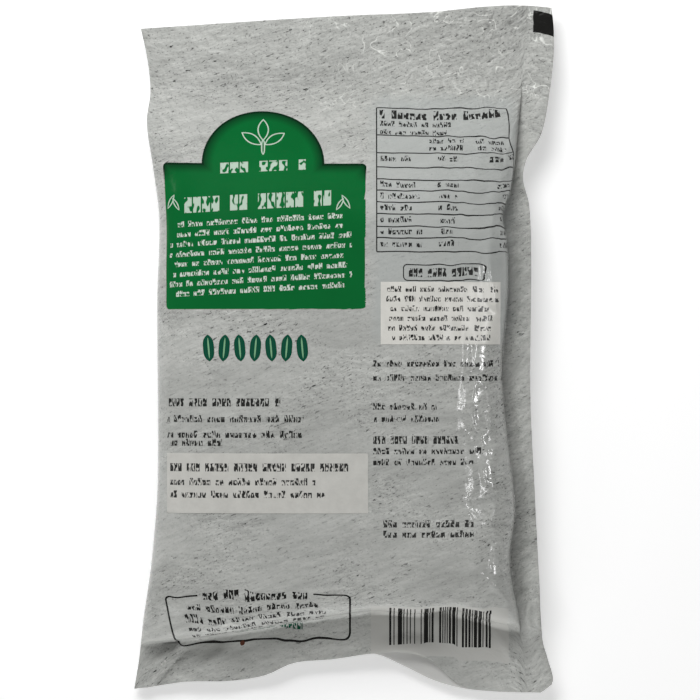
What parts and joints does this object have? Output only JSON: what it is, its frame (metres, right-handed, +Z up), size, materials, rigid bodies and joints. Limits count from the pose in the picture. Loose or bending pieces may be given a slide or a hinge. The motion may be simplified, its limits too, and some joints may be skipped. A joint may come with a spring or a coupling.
{
  "type": "sealed frozen vegetable bag",
  "caption": "Sealed printed film bag of frozen whole ivy gourds, lying on its front with its back up, with a flat header, a side flange, a curled bottom lip and two stickers.",
  "frame": {"origin": "on the surface the bag lies on, under the middle of its outline", "axes": "+Z up, out of the bag's back; +Y along the bag, from the curled bottom lip towards the flat header; +X across it, towards the sealed side flange"},
  "size_m": [0.1685, 0.2756, 0.0381],
  "materials": {
    "printed film": "glossy printed film, warm grey with green panels",
    "label paper": "matt off-white label paper",
    "gourd skin": "smooth green vegetable skin with pale stripes"
  },
  "bodies": {
    "root": {"film_bag": "printed film", "importer_label": "label paper", "cooking_label": "label paper", "ivy_gourd_01": "gourd skin", "ivy_gourd_02": "gourd skin", "ivy_gourd_03": "gourd skin", "ivy_gourd_04": "gourd skin", "ivy_gourd_05": "gourd skin", "ivy_gourd_06": "gourd skin", "ivy_gourd_07": "gourd skin", "ivy_gourd_08": "gourd skin", "ivy_gourd_09": "gourd skin", "ivy_gourd_10": "gourd skin", "ivy_gourd_11": "gourd skin", "ivy_gourd_12": "gourd skin", "ivy_gourd_13": "gourd skin", "ivy_gourd_14": "gourd skin", "ivy_gourd_15": "gourd skin", "ivy_gourd_16": "gourd skin", "ivy_gourd_17": "gourd skin", "ivy_gourd_18": "gourd skin", "ivy_gourd_19": "gourd skin", "ivy_gourd_20": "gourd skin", "ivy_gourd_21": "gourd skin", "ivy_gourd_22": "gourd skin", "ivy_gourd_23": "gourd skin", "ivy_gourd_24": "gourd skin", "ivy_gourd_25": "gourd skin", "ivy_gourd_26": "gourd skin", "ivy_gourd_27": "gourd skin", "ivy_gourd_28": "gourd skin", "ivy_gourd_29": "gourd skin", "ivy_gourd_30": "gourd skin", "ivy_gourd_31": "gourd skin", "ivy_gourd_32": "gourd skin", "ivy_gourd_33": "gourd skin", "ivy_gourd_34": "gourd skin", "ivy_gourd_35": "gourd skin", "ivy_gourd_36": "gourd skin", "ivy_gourd_37": "gourd skin", "ivy_gourd_38": "gourd skin"}
  },
  "joints": []
}
